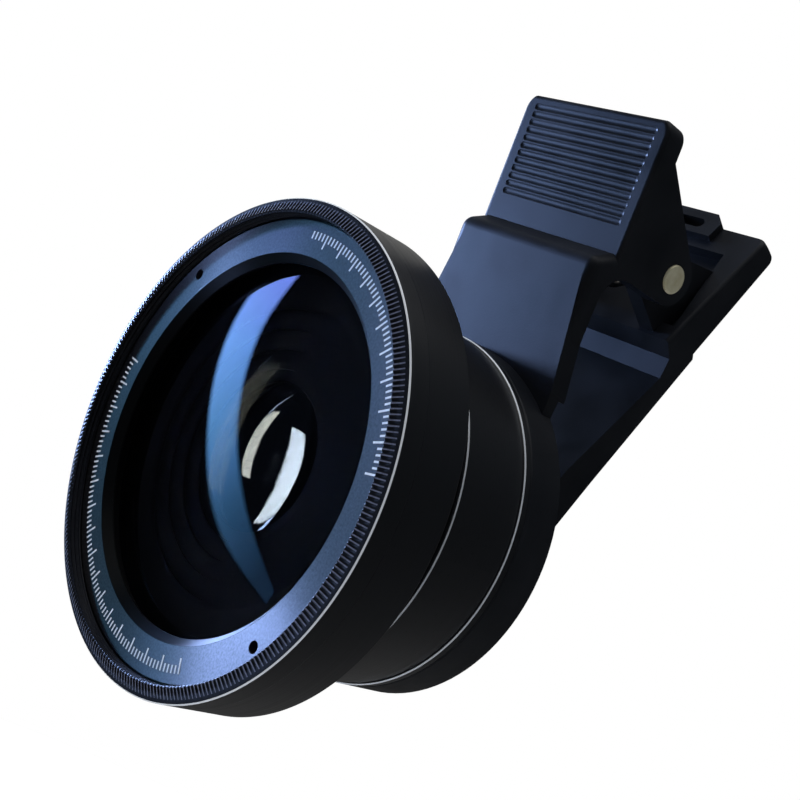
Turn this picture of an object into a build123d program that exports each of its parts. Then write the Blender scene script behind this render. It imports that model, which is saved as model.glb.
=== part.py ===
from build123d import *
from math import acos, atan2, cos, degrees, hypot, radians, sin, sqrt, tan
import os

os.makedirs("parts", exist_ok=True)

# Clip-on phone lens: a wide lens screwed on a macro lens, screwed in a sprung clip.
# Millimetres. The lens axis is Y and the front of the lens looks along -Y.
# The origin is where the lens axis meets the phone's back, at the face of the front pad.
# +Z runs up to the finger grips, and X is the width of the clip.

# Clearances
screw_gap = 0.05
seat_gap = 0.02
running_gap = 0.08
side_gap = 0.2
open_gap = 0.3
joint_overlap = 0.5

# Lens stack, from the phone towards the front
pad_stands_out = 1.0
plate_thickness = 5.1
ring_flange_thickness = 1.0
macro_body_length = 10.1
wide_tail_length = 5.2
wide_front_length = 8.0
bevel_rise = 0.7

# Threads, drawn as plain walls
lens_thread_radius = 18.5
lens_thread_length = 3.4
filter_thread_radius = 24.25
filter_thread_depth = 1.55
thread_relief_depth = 0.4
thread_relief_length = 0.5

# Clip plate, thread ring and front pad
plate_wall = 2.05
plate_edge_round = 0.45
ring_wall = 1.1
ring_sleeve_length = 3.6
window_radius = 10.0
pad_margin = 3.55
pad_recess = 0.6
pad_edge_round = 0.3
polish_width = 0.28

# Macro lens
macro_front_wall = 2.95
macro_rear_wall = 1.8
macro_bore_wall = 2.5
macro_seat_width = 1.2
macro_glass_curve = 42.0
macro_glass_edge = 1.2
macro_glass_setback = 4.4
macro_lip = 1.2
macro_lock_length = 1.3

# Wide lens, barrel and name ring
rim_wall = 1.75
rim_polish = 0.2
rim_lead_in = 0.2
rear_edge_chamfer = 0.25
wide_tail_wall = 2.5
wide_sleeve_wall = 1.25
hub_wall = 2.2
hub_lip = 0.75
web_thickness = 1.4
name_ring_step = 0.25
name_ring_length = 2.3
name_ring_width = 3.65
name_ring_lip = 0.78
name_ring_bevel = 0.85
name_ring_land = 0.2
spanner_hole_radius = 0.62
spanner_hole_depth = 1.2
spanner_hole_inset = 1.5
spanner_hole_angle = 142.0

# Wide lens, glass and baffle
front_glass_seat_width = 2.4
front_glass_curve = 150.0
front_glass_rim = 5.6
front_glass_hollow_curve = 46.0
front_glass_middle = 2.0
baffle_rim = 1.05
baffle_overhang = 0.6
baffle_throat = 9.2
baffle_steps = 4
baffle_length = 2.6
rear_glass_radius = 9.0
rear_glass_clear = 7.9
rear_crown_curve = 22.0
cement_curve = 20.0
rear_flint_curve = 60.0
rear_crown_edge = 1.1
rear_flint_edge = 3.4
rear_lock_length = 1.3

# Front arm of the clip
arm_half_width = 11.3
foot_half_width = 12.3
foot_height = 19.0
foot_blend_height = 25.0
arm_lean = 6.5
arm_thickness = 2.65
foot_setback = 3.15
pad_ledge_height = 18.5
shoulder_height = 33.9
shoulder_round = 1.5
crease_height = 35.5
crease_setback = 3.0
grip_top_height = 50.7
grip_thickness = 2.9
grip_corner = 2.0
arm_side_round = 1.2
edge_round = 0.5
groove_count = 12
groove_pitch = 0.95
groove_radius = 0.6
groove_sink = 0.45
groove_half_length = 9.3
first_groove_down = 1.5
cheek_thickness = 2.5
cheek_top_height = 47.2
boss_radius = 3.1
ear_fillet = 3.3

# Hinge
pin_y = 8.46
pin_height = 36.75
pin_radius = 1.69
pin_stands_out = 0.3
pin_end_round = 0.28
lug_thickness = 2.2
lug_radius = 2.9
lug_foot_rise = 0.5
lug_head_drop = 3.0
spring_wire = 0.9
spring_whole_turns = 5
spring_pitch = 1.05
spring_pin_gap = 0.5
spring_front_drop = 5.7
spring_rear_along = 8.0

# Rear arm of the clip, closed on nothing
rear_grip_lean = 27.4
rear_grip_setback = 6.45
rear_grip_height = 47.1
rear_grip_end = 3.1
rear_grip_root = 5.4
rear_grip_round = 0.9
heel_height = 30.6
heel_step = 1.7
heel_drop = 1.7
heel_flat = 2.5
knee_height = 11.9
knee_y = 6.4
knee_thickness = 4.9
outer_step = 0.35
tip_height = -9.0
tip_thickness = 2.8
tip_round = 1.0
tip_corner = 5.0
rear_corner = 1.6
rear_pad_low = -7.5
rear_pad_high = 4.0
rear_pad_half_width = 8.5
rear_pad_thickness = 1.5
rear_pad_recess = 0.6
rear_pad_tilt = 13.0
pocket_depth = 1.4
pocket_low = 32.6
pocket_high = 43.6
pocket_half_low = 10.3
pocket_half_high = 7.8
eye_rise = 1.3
eye_proud = 0.9
eye_half_foot = 4.6
eye_half_top = 3.2
eye_depth = 3.8
slot_down = 2.1
slot_half_length = 2.4
slot_half_width = 0.75


def sag(curve, radius):
    """Depth of a spherical face of this curve radius, from its middle out to a radius."""
    return curve - sqrt(curve * curve - radius * radius)


def on_line(start, end, z):
    """The y value at height z on the straight line through two (y, z) points."""
    share = (z - start[1]) / (end[1] - start[1])
    return start[0] + share * (end[0] - start[0])


# Radii that follow from the two threads
wide_radius = filter_thread_radius + rim_wall
name_ring_radius = filter_thread_radius - name_ring_step
name_ring_face_inner = name_ring_radius - name_ring_width
name_ring_lip_radius = name_ring_face_inner - name_ring_lip
spanner_hole_circle = name_ring_radius - spanner_hole_inset
front_glass_radius = name_ring_radius - front_glass_seat_width
front_glass_hollow_radius = front_glass_radius - front_glass_rim
baffle_mouth = front_glass_hollow_radius - baffle_overhang
baffle_radius = baffle_mouth + baffle_rim
wide_tail_radius = lens_thread_radius + wide_tail_wall
macro_front_radius = lens_thread_radius + macro_front_wall
macro_rear_radius = lens_thread_radius + macro_rear_wall
macro_glass_radius = lens_thread_radius - macro_bore_wall
macro_clear_radius = macro_glass_radius - macro_seat_width
plate_radius = lens_thread_radius + plate_wall
pad_radius = plate_radius - pad_margin

# Stations along the lens axis
plate_rear = -pad_stands_out
plate_front = plate_rear - plate_thickness
ring_front = plate_front - ring_flange_thickness
macro_front = ring_front - macro_body_length
wide_tail_front = macro_front - wide_tail_length
rim_edge = wide_tail_front - wide_front_length
rim_front = rim_edge - bevel_rise
name_ring_front = rim_front + filter_thread_depth
name_ring_rear = name_ring_front + name_ring_length

# Side view of the front arm: a leaning slab, a shoulder, a crease and the finger grip.
lean = tan(radians(arm_lean))
foot_front = (plate_front + foot_setback, plate_radius)
arm_front_low = (foot_front[0] + lean * plate_radius / 2, plate_radius / 2)
arm_shoulder = (foot_front[0] - lean * (shoulder_height - plate_radius), shoulder_height)
crease = (arm_shoulder[0] + crease_setback, crease_height)
grip_top = (crease[0] - lean * (grip_top_height - crease_height), grip_top_height)
slab = arm_thickness / cos(radians(arm_lean))
grip_slab = grip_thickness / cos(radians(arm_lean))
ear_low = pin_height - boss_radius
arm_back_ledge = (on_line(foot_front, arm_shoulder, pad_ledge_height) + slab, pad_ledge_height)
arm_back_ear = (on_line(foot_front, arm_shoulder, ear_low - ear_fillet) + slab, ear_low - ear_fillet)
grip_back_top = (grip_top[0] + grip_slab, grip_top_height)
grip_back_ear = (arm_back_ear[0] + ear_fillet, ear_low)
ear_mid_drop = ear_fillet * (1 - cos(radians(45)))
ear_mid = (arm_back_ear[0] + ear_mid_drop, ear_low - ear_mid_drop)
cheek_top = (on_line(grip_back_ear, grip_back_top, cheek_top_height), cheek_top_height)
cheek_inside = arm_half_width - cheek_thickness
ring_bore_radius = lens_thread_radius + ring_wall + screw_gap
ring_bore_depth = ring_sleeve_length + screw_gap
top_edge = grip_top_height + open_gap

front_outline = [
    (foot_half_width, 0),
    (foot_half_width, foot_height),
    (arm_half_width, foot_blend_height),
    (arm_half_width, top_edge),
]


def on_front_edge(edge):
    """True for the side edges of the arm's and the grip's front, above the foot."""
    start, middle, end = edge @ 0, edge @ 0.5, edge @ 1
    arm_middle = on_line(foot_front, arm_shoulder, middle.Z) + arm_thickness / 2
    in_front = middle.Y < crease[0] + seat_gap if middle.Z > ear_low else middle.Y < arm_middle
    above_foot = min(start.Z, end.Z) > foot_blend_height - seat_gap
    at_side = min(abs(start.X), abs(end.X)) > arm_half_width - grip_corner
    across = abs(start.X - end.X) > grip_corner or abs(start.Z - end.Z) < seat_gap
    return in_front and above_foot and at_side and not across


def on_arm_edge(edge):
    """True for the front side edges of the arm and its shoulder, below the crease."""
    return on_front_edge(edge) and (edge @ 0.5).Z < crease_height


def on_grip_edge(edge):
    """True for the front side edges of the grip, and for those round its end."""
    middle = (edge @ 0.5).Z
    round_end = middle > grip_top_height - edge_round / 2
    return round_end or (middle > crease_height + open_gap and on_front_edge(edge))


groove_centres = []
for number in range(groove_count):
    down = first_groove_down + number * groove_pitch
    groove_height = grip_top_height - down * cos(radians(arm_lean))
    groove_centres.append((on_line(crease, grip_top, groove_height) - groove_sink, groove_height))

with BuildPart() as front_arm:
    with BuildSketch(Plane.YZ):
        with BuildLine():
            Polyline(
                arm_back_ear,
                arm_back_ledge,
                (plate_rear, pad_ledge_height),
                (plate_rear, plate_radius / 2),
                arm_front_low,
                arm_shoulder,
                crease,
                grip_top,
                grip_back_top,
                grip_back_ear,
            )
            ThreePointArc(grip_back_ear, ear_mid, arm_back_ear)
        make_face()
        fillet(vertices().sort_by_distance(arm_shoulder)[0], radius=shoulder_round)
    extrude(amount=foot_half_width, both=True)
    # Cheeks: a web from the grip's back to a boss round the pin.
    with BuildSketch(Plane.YZ.offset(cheek_inside)):
        with BuildLine():
            Polyline((crease[0], ear_low), crease, cheek_top, close=True)
        make_face()
        with Locations((pin_y, pin_height)):
            Circle(boss_radius)
        make_hull()
    extrude(amount=cheek_thickness)
    mirror(about=Plane.YZ)
    with BuildSketch(Plane.XZ.offset(-plate_rear)):
        Circle(plate_radius)
    extrude(amount=plate_thickness)
    fillet(edges().filter_by(GeomType.CIRCLE).group_by(Axis.Y)[0], radius=plate_edge_round)
    # Front view outline: round plate, foot that narrows to the arm, rounded grip corners.
    with BuildSketch(Plane.XZ):
        with BuildLine():
            Polyline(*front_outline, *[(-x, z) for x, z in reversed(front_outline)], close=True)
        make_face()
        fillet(vertices().group_by(Axis.Y)[-1], radius=grip_corner)
        Circle(plate_radius)
    extrude(amount=2 * grip_top_height, both=True, mode=Mode.INTERSECT)
    fillet(edges().filter_by(on_arm_edge), radius=arm_side_round)
    fillet(edges().filter_by(on_grip_edge), radius=edge_round)
    with BuildSketch(Plane.XZ.offset(-plate_front)):
        Circle(ring_bore_radius)
    extrude(amount=-ring_bore_depth, mode=Mode.SUBTRACT)
    with BuildSketch(Plane.XZ):
        Circle(window_radius)
    extrude(amount=plate_thickness + pad_stands_out, mode=Mode.SUBTRACT)
    with BuildSketch(Plane.XZ.offset(-plate_rear)):
        Circle(pad_radius + screw_gap)
    extrude(amount=pad_recess, mode=Mode.SUBTRACT)
    with BuildSketch(Plane.YZ):
        with Locations(*groove_centres):
            Circle(groove_radius)
    extrude(amount=groove_half_length, both=True, mode=Mode.SUBTRACT)
    groove_ends = [(side * groove_half_length, y, z) for y, z in groove_centres for side in (-1, 1)]
    with Locations(*groove_ends):
        Sphere(groove_radius, mode=Mode.SUBTRACT)
    with BuildSketch(Plane.YZ):
        with Locations((pin_y, pin_height)):
            Circle(pin_radius + seat_gap)
    extrude(amount=2 * arm_half_width, both=True, mode=Mode.SUBTRACT)

front_arm.part.label = "front_arm"
export_step(front_arm.part, "parts/front_arm.step")

# Thread ring: metal flange and sleeve in the plate, with the thread for the lenses.
with BuildPart() as thread_ring:
    with BuildSketch(Plane.XY):
        with BuildLine():
            Polyline(
                (lens_thread_radius, ring_front),
                (plate_radius - polish_width, ring_front),
                (plate_radius, ring_front + polish_width),
                (plate_radius, plate_front),
                (lens_thread_radius + ring_wall, plate_front),
                (lens_thread_radius + ring_wall, plate_front + ring_sleeve_length),
                (lens_thread_radius, plate_front + ring_sleeve_length),
                close=True,
            )
        make_face()
    revolve(axis=Axis.Y)

thread_ring.part.label = "thread_ring"
export_step(thread_ring.part, "parts/thread_ring.step")

# Front pad: soft ring in the plate's back, round the camera window.
with BuildPart() as front_pad:
    with BuildSketch(Plane.XZ):
        Circle(pad_radius)
        Circle(window_radius, mode=Mode.SUBTRACT)
    extrude(amount=pad_stands_out + pad_recess)
    fillet(edges().group_by(Axis.Y)[-1], radius=pad_edge_round)

front_pad.part.label = "front_pad"
export_step(front_pad.part, "parts/front_pad.step")

# Macro lens: barrel, one thick glass and the ring that locks it.
macro_glass_front = macro_front + macro_glass_setback
macro_edge_front = macro_glass_front + sag(macro_glass_curve, macro_glass_radius)
macro_edge_rear = macro_edge_front + macro_glass_edge
macro_glass_rear = macro_edge_rear + sag(macro_glass_curve, macro_glass_radius)
macro_seat = macro_glass_rear - sag(macro_glass_curve, macro_clear_radius) + seat_gap
macro_lock_rear = macro_glass_front + sag(macro_glass_curve, macro_clear_radius) - seat_gap
macro_thread_end = macro_front + lens_thread_length + open_gap
macro_sleeve_rear = ring_front + lens_thread_length
male_thread_radius = lens_thread_radius - screw_gap
macro_bore = macro_glass_radius + seat_gap

with BuildPart() as macro_barrel:
    with BuildSketch(Plane.XY):
        with BuildLine():
            Polyline(
                (lens_thread_radius, macro_front),
                (macro_front_radius - polish_width, macro_front),
                (macro_front_radius, macro_front + polish_width),
                (macro_rear_radius, ring_front),
                (male_thread_radius, ring_front),
                (male_thread_radius, macro_sleeve_rear),
                (macro_clear_radius + macro_lip, macro_sleeve_rear),
                (macro_clear_radius, macro_seat + macro_lip),
                (macro_clear_radius, macro_seat),
                (macro_bore, macro_seat),
                (macro_bore, macro_thread_end),
                (lens_thread_radius, macro_thread_end),
                close=True,
            )
        make_face()
    revolve(axis=Axis.Y)

macro_barrel.part.label = "macro_barrel"
export_step(macro_barrel.part, "parts/macro_barrel.step")

with BuildPart() as macro_glass:
    with BuildSketch(Plane.XY):
        with BuildLine():
            half = macro_glass_radius / 2
            Line((0, macro_glass_front), (0, macro_glass_rear))
            rear_mid = (half, macro_glass_rear - sag(macro_glass_curve, half))
            ThreePointArc((0, macro_glass_rear), rear_mid, (macro_glass_radius, macro_edge_rear))
            Line((macro_glass_radius, macro_edge_rear), (macro_glass_radius, macro_edge_front))
            front_mid = (half, macro_glass_front + sag(macro_glass_curve, half))
            ThreePointArc((macro_glass_radius, macro_edge_front), front_mid, (0, macro_glass_front))
        make_face()
    revolve(axis=Axis.Y)

macro_glass.part.label = "macro_glass"
export_step(macro_glass.part, "parts/macro_glass.step")

with BuildPart() as macro_lock_ring:
    with BuildSketch(Plane.XZ.offset(-macro_lock_rear)):
        Circle(macro_bore - screw_gap)
        Circle(macro_clear_radius, mode=Mode.SUBTRACT)
    extrude(amount=macro_lock_length)

macro_lock_ring.part.label = "macro_lock_ring"
export_step(macro_lock_ring.part, "parts/macro_lock_ring.step")

# Wide lens, glass stations. The name ring's rear edge holds the front glass at its face.
front_glass_vertex = name_ring_rear + seat_gap - sag(front_glass_curve, name_ring_face_inner)
front_glass_edge = front_glass_vertex + sag(front_glass_curve, front_glass_radius)
hollow_depth = sag(front_glass_hollow_curve, front_glass_hollow_radius)
front_glass_rear = front_glass_vertex + front_glass_middle + hollow_depth
front_glass_seat = front_glass_rear + seat_gap
web_front = front_glass_seat + baffle_length + seat_gap
hub_seat = web_front + hub_lip
crown_vertex = hub_seat + seat_gap - sag(rear_crown_curve, rear_glass_clear)
crown_edge = crown_vertex + sag(rear_crown_curve, rear_glass_radius)
cement_edge = crown_edge + rear_crown_edge
cement_vertex = cement_edge + sag(cement_curve, rear_glass_radius)
flint_edge = cement_edge + rear_flint_edge
flint_vertex = flint_edge + sag(rear_flint_curve, rear_glass_radius)
rear_lock_front = flint_vertex - sag(rear_flint_curve, rear_glass_clear) + seat_gap
hub_rear = rear_lock_front + rear_lock_length
hub_bore = rear_glass_radius + seat_gap
sleeve_rear = macro_front + lens_thread_length
sleeve_bore = male_thread_radius - wide_sleeve_wall

relief_rear = name_ring_front + thread_relief_length

# Wide barrel: one turned piece with the filter thread, the glass seats, the hub and a sleeve.
with BuildPart() as wide_barrel:
    with BuildSketch(Plane.XY):
        with BuildLine():
            Polyline(
                (filter_thread_radius, rim_front + rim_lead_in),
                (filter_thread_radius + rim_lead_in, rim_front),
                (wide_radius - rim_polish, rim_edge - rim_polish),
                (wide_radius, rim_edge),
                (wide_radius, wide_tail_front - rear_edge_chamfer),
                (wide_radius - rear_edge_chamfer, wide_tail_front),
                (wide_tail_radius, wide_tail_front),
                (wide_tail_radius, macro_front),
                (male_thread_radius, macro_front),
                (male_thread_radius, sleeve_rear),
                (sleeve_bore, sleeve_rear),
                (sleeve_bore, web_front + web_thickness),
                (hub_bore + hub_wall, web_front + web_thickness),
                (hub_bore + hub_wall, hub_rear),
                (hub_bore, hub_rear),
                (hub_bore, hub_seat),
                (rear_glass_clear, hub_seat),
                (rear_glass_clear, web_front),
                (baffle_radius + screw_gap, web_front),
                (baffle_radius + screw_gap, front_glass_seat),
                (front_glass_radius + seat_gap, front_glass_seat),
                (front_glass_radius + seat_gap, name_ring_rear + seat_gap),
                (name_ring_radius + screw_gap, name_ring_rear + seat_gap),
                (name_ring_radius + screw_gap, relief_rear),
                (filter_thread_radius + thread_relief_depth, relief_rear),
                (filter_thread_radius + thread_relief_depth, name_ring_front),
                (filter_thread_radius, name_ring_front),
                close=True,
            )
        make_face()
    revolve(axis=Axis.Y)

wide_barrel.part.label = "wide_barrel"
export_step(wide_barrel.part, "parts/wide_barrel.step")

# Name ring: screws in the filter thread and holds the front glass. Two holes take a spanner.
with BuildPart() as name_ring:
    with BuildSketch(Plane.XY):
        with BuildLine():
            Polyline(
                (name_ring_face_inner, name_ring_front),
                (name_ring_radius, name_ring_front),
                (name_ring_radius, name_ring_rear),
                (name_ring_face_inner, name_ring_rear),
                (name_ring_lip_radius, name_ring_front + name_ring_bevel + name_ring_land),
                (name_ring_lip_radius, name_ring_front + name_ring_bevel),
                close=True,
            )
        make_face()
    revolve(axis=Axis.Y)
    with BuildSketch(Plane.XZ.offset(-name_ring_front)):
        with PolarLocations(spanner_hole_circle, 2, start_angle=spanner_hole_angle):
            Circle(spanner_hole_radius)
    extrude(amount=-spanner_hole_depth, mode=Mode.SUBTRACT)

name_ring.part.label = "name_ring"
export_step(name_ring.part, "parts/name_ring.step")

# Front glass: gently domed in front, hollow behind.
with BuildPart() as front_glass:
    with BuildSketch(Plane.XY):
        with BuildLine():
            half = front_glass_radius / 2
            hollow_half = front_glass_hollow_radius / 2
            hollow_vertex = front_glass_vertex + front_glass_middle
            front_mid = (half, front_glass_vertex + sag(front_glass_curve, half))
            hollow_mid = (hollow_half, hollow_vertex + sag(front_glass_hollow_curve, hollow_half))
            ThreePointArc((0, front_glass_vertex), front_mid, (front_glass_radius, front_glass_edge))
            Line((front_glass_radius, front_glass_edge), (front_glass_radius, front_glass_rear))
            Line((front_glass_radius, front_glass_rear), (front_glass_hollow_radius, front_glass_rear))
            ThreePointArc((front_glass_hollow_radius, front_glass_rear), hollow_mid, (0, hollow_vertex))
            Line((0, hollow_vertex), (0, front_glass_vertex))
        make_face()
    revolve(axis=Axis.Y)

front_glass.part.label = "front_glass"
export_step(front_glass.part, "parts/front_glass.step")

# Baffle: black stepped funnel between the front glass and the rear glasses.
step_length = baffle_length / baffle_steps
step_in = (baffle_mouth - baffle_throat) / (baffle_steps - 1)
baffle_front = front_glass_seat + seat_gap
stair = []
for step in range(baffle_steps):
    stair.append((baffle_mouth - step * step_in, baffle_front + step * step_length))
    stair.append((baffle_mouth - step * step_in, baffle_front + (step + 1) * step_length))

with BuildPart() as baffle:
    with BuildSketch(Plane.XY):
        with BuildLine():
            Polyline(
                *stair,
                (baffle_radius, baffle_front + baffle_length),
                (baffle_radius, baffle_front),
                close=True,
            )
        make_face()
    revolve(axis=Axis.Y)

baffle.part.label = "baffle"
export_step(baffle.part, "parts/baffle.step")

# Rear glasses of the wide lens: a crown and a flint cemented at one curved face.
crown_half = rear_glass_radius / 2
cement_mid = (crown_half, cement_vertex - sag(cement_curve, crown_half))

with BuildPart() as rear_crown_glass:
    with BuildSketch(Plane.XY):
        with BuildLine():
            crown_mid = (crown_half, crown_vertex + sag(rear_crown_curve, crown_half))
            ThreePointArc((0, crown_vertex), crown_mid, (rear_glass_radius, crown_edge))
            Line((rear_glass_radius, crown_edge), (rear_glass_radius, cement_edge))
            ThreePointArc((rear_glass_radius, cement_edge), cement_mid, (0, cement_vertex))
            Line((0, cement_vertex), (0, crown_vertex))
        make_face()
    revolve(axis=Axis.Y)

rear_crown_glass.part.label = "rear_crown_glass"
export_step(rear_crown_glass.part, "parts/rear_crown_glass.step")

with BuildPart() as rear_flint_glass:
    with BuildSketch(Plane.XY):
        with BuildLine():
            flint_mid = (crown_half, flint_vertex - sag(rear_flint_curve, crown_half))
            ThreePointArc((0, cement_vertex), cement_mid, (rear_glass_radius, cement_edge))
            Line((rear_glass_radius, cement_edge), (rear_glass_radius, flint_edge))
            ThreePointArc((rear_glass_radius, flint_edge), flint_mid, (0, flint_vertex))
            Line((0, flint_vertex), (0, cement_vertex))
        make_face()
    revolve(axis=Axis.Y)

rear_flint_glass.part.label = "rear_flint_glass"
export_step(rear_flint_glass.part, "parts/rear_flint_glass.step")

with BuildPart() as rear_lock_ring:
    with BuildSketch(Plane.XZ.offset(-rear_lock_front)):
        Circle(hub_bore - screw_gap)
        Circle(rear_glass_clear, mode=Mode.SUBTRACT)
    extrude(amount=-rear_lock_length)

rear_lock_ring.part.label = "rear_lock_ring"
export_step(rear_lock_ring.part, "parts/rear_lock_ring.step")

# Hinge pin, pressed in the front arm's cheeks.
with BuildPart() as hinge_pin:
    with BuildSketch(Plane.YZ):
        with Locations((pin_y, pin_height)):
            Circle(pin_radius)
    extrude(amount=arm_half_width + pin_stands_out, both=True)
    fillet(edges().filter_by(GeomType.CIRCLE), radius=pin_end_round)

hinge_pin.part.label = "hinge_pin"
export_step(hinge_pin.part, "parts/hinge_pin.step")

# Side view of the rear arm. Its grip leans away, and its heel steps back below the pin.
rear_lean = radians(rear_grip_lean)
face_out = (cos(rear_lean), -sin(rear_lean))
face_along = (sin(rear_lean), cos(rear_lean))
face_foot = (pin_y + rear_grip_setback * face_out[0], pin_height + rear_grip_setback * face_out[1])


def on_face(along, out=0.0):
    """Point at a distance up the rear grip's inner face, and at a depth behind that face."""
    y = face_foot[0] + along * face_along[0] + out * face_out[0]
    z = face_foot[1] + along * face_along[1] + out * face_out[1]
    return (y, z)


def along_face(z):
    """Distance up the rear grip's inner face at height z."""
    return (z - face_foot[1]) / face_along[1]


grip_end = on_face(along_face(rear_grip_height))
grip_end_back = on_face(along_face(rear_grip_height), rear_grip_end)
heel = on_face(along_face(heel_height))
heel_under = (heel[0] + heel_step, heel_height - heel_drop)
heel_flat_end = (heel_under[0], heel_under[1] - heel_flat)
heel_back = (heel[0] + rear_grip_root, heel_height + open_gap)
knee = (knee_y, knee_height)
knee_back = (knee_y + knee_thickness, knee_height)
tilt = radians(rear_pad_tilt)
pad_out = (cos(tilt), -sin(tilt))
pad_low = (open_gap, rear_pad_low)
pad_proud = rear_pad_thickness - rear_pad_recess


def on_pad(z, out=0.0):
    """Point at height z on the rear pad's gripping face, moved square to the face."""
    y = pad_low[0] + (z - pad_low[1]) * tan(tilt)
    return (y + out * pad_out[0], z + out * pad_out[1])


def on_rail_edge(edge):
    """True for the side edges of the rear grip's inner face, with its rounded corners."""
    start, middle, end = edge @ 0, edge @ 0.5, edge @ 1
    in_face = abs(middle.Y - on_face(along_face(middle.Z))[0]) < seat_gap
    at_side = min(abs(start.X), abs(end.X)) > arm_half_width - rear_corner
    across = abs(start.X - end.X) > rear_corner or abs(start.Z - end.Z) < seat_gap
    return in_face and at_side and not across and middle.Z > heel_height


jaw_top = on_pad(rear_pad_high + rear_pad_recess, pad_proud)
jaw_tip = on_pad(tip_height, pad_proud)
jaw_tip_back = on_pad(tip_height, pad_proud + tip_thickness)
lug_inside = cheek_inside - side_gap - lug_thickness
lug_foot = along_face(heel_height) + lug_foot_rise
lug_head = along_face(pocket_high) - lug_head_drop
eye_top = along_face(rear_grip_height) + eye_rise
eye_low = eye_top - eye_depth
slot_along = eye_top - slot_down

with BuildPart() as rear_arm:
    with BuildSketch(Plane.YZ):
        with BuildLine():
            Polyline(
                grip_end,
                heel,
                heel_under,
                heel_flat_end,
                knee,
                jaw_top,
                jaw_tip,
                jaw_tip_back,
                knee_back,
                (heel_back[0] + outer_step, heel_height - open_gap),
                heel_back,
                grip_end_back,
                close=True,
            )
        make_face()
        fillet(vertices().sort_by_distance(grip_end_back)[0], radius=rear_grip_round)
        fillet(vertices().sort_by_distance(jaw_tip_back)[0], radius=tip_round)
    extrude(amount=arm_half_width, both=True)
    # Front view outline: rounded grip corners and a rounded jaw tip.
    with BuildSketch(Plane.XZ):
        with BuildLine():
            Polyline(
                (arm_half_width, tip_height - open_gap),
                (arm_half_width, rear_grip_height + open_gap),
                (-arm_half_width, rear_grip_height + open_gap),
                (-arm_half_width, tip_height - open_gap),
                close=True,
            )
        make_face()
        fillet(vertices().group_by(Axis.Y)[-1], radius=rear_corner)
        fillet(vertices().group_by(Axis.Y)[0], radius=tip_corner)
    extrude(amount=2 * rear_grip_height, both=True, mode=Mode.INTERSECT)
    fillet(edges().filter_by(on_rail_edge), radius=edge_round)
    # Pocket in the grip's inner face, wider towards the heel.
    face_plane = Plane(
        origin=(0, face_foot[0], face_foot[1]),
        x_dir=(1, 0, 0),
        z_dir=(0, -face_out[0], -face_out[1]),
    )
    with BuildSketch(face_plane):
        with BuildLine():
            Polyline(
                (pocket_half_low, along_face(pocket_low)),
                (pocket_half_high, along_face(pocket_high)),
                (-pocket_half_high, along_face(pocket_high)),
                (-pocket_half_low, along_face(pocket_low)),
                close=True,
            )
        make_face()
    extrude(amount=-pocket_depth, mode=Mode.SUBTRACT)
    # Lugs from the grip's face to the pin, just inside the front arm's cheeks.
    with BuildSketch(Plane.YZ.offset(lug_inside)):
        with BuildLine():
            Polyline(
                on_face(lug_foot, 0),
                on_face(lug_foot, pocket_depth + joint_overlap),
                on_face(lug_head, pocket_depth + joint_overlap),
                on_face(lug_head, 0),
                close=True,
            )
        make_face()
        with Locations((pin_y, pin_height)):
            Circle(lug_radius)
        make_hull()
    extrude(amount=lug_thickness)
    mirror(about=Plane.YZ)
    with BuildSketch(Plane.YZ):
        with Locations((pin_y, pin_height)):
            Circle(pin_radius + running_gap)
    extrude(amount=cheek_inside, both=True, mode=Mode.SUBTRACT)
    # Eye for a strap at the grip's end: a raised block with a slot through it.
    with BuildSketch(face_plane.offset(eye_proud)):
        with BuildLine():
            Polyline(
                (eye_half_foot, eye_low),
                (eye_half_foot, eye_top - eye_rise),
                (eye_half_top, eye_top),
                (-eye_half_top, eye_top),
                (-eye_half_foot, eye_top - eye_rise),
                (-eye_half_foot, eye_low),
                close=True,
            )
        make_face()
    extrude(amount=-(eye_proud + rear_grip_end))
    with BuildSketch(face_plane.offset(eye_proud)):
        with Locations((0, slot_along)):
            SlotOverall(2 * slot_half_length, 2 * slot_half_width)
    extrude(amount=-(eye_proud + 2 * rear_grip_end), mode=Mode.SUBTRACT)
    # Seat for the rear pad in the jaw's gripping face.
    seat_origin = on_pad(rear_pad_low, pad_proud)
    jaw_plane = Plane(
        origin=(0, seat_origin[0], seat_origin[1]),
        x_dir=(1, 0, 0),
        z_dir=(0, -pad_out[0], -pad_out[1]),
    )
    pad_length = (rear_pad_high - rear_pad_low) / cos(tilt)
    with BuildSketch(jaw_plane):
        with Locations((0, pad_length / 2)):
            RectangleRounded(2 * (rear_pad_half_width + screw_gap), pad_length + 2 * screw_gap, rear_corner)
    extrude(amount=-rear_pad_recess, mode=Mode.SUBTRACT)

rear_arm.part.label = "rear_arm"
export_step(rear_arm.part, "parts/rear_arm.step")

# Rear pad: soft block that presses on the phone's screen side.
with BuildPart() as rear_pad:
    with BuildSketch(jaw_plane.offset(pad_proud)):
        with Locations((0, pad_length / 2)):
            RectangleRounded(2 * rear_pad_half_width, pad_length, rear_corner)
    extrude(amount=-rear_pad_thickness)

rear_pad.part.label = "rear_pad"
export_step(rear_pad.part, "parts/rear_pad.step")

# Torsion spring: a coil round the pin between the lugs, with one leg on each grip.
coil_radius = pin_radius + spring_pin_gap + spring_wire / 2
leg_clear = spring_wire / 2 + screw_gap
front_leg_height = grip_top_height - spring_front_drop
front_leg_rest = (on_line(grip_back_ear, grip_back_top, front_leg_height) + leg_clear, front_leg_height)
rear_leg_rest = on_face(spring_rear_along, pocket_depth - leg_clear)


def touch_angle(rest, side):
    """Angle round the pin at which a straight leg to this rest leaves the coil."""
    out_y = rest[0] - pin_y
    out_z = rest[1] - pin_height
    return degrees(atan2(out_z, out_y) + side * acos(coil_radius / hypot(out_y, out_z)))


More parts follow.
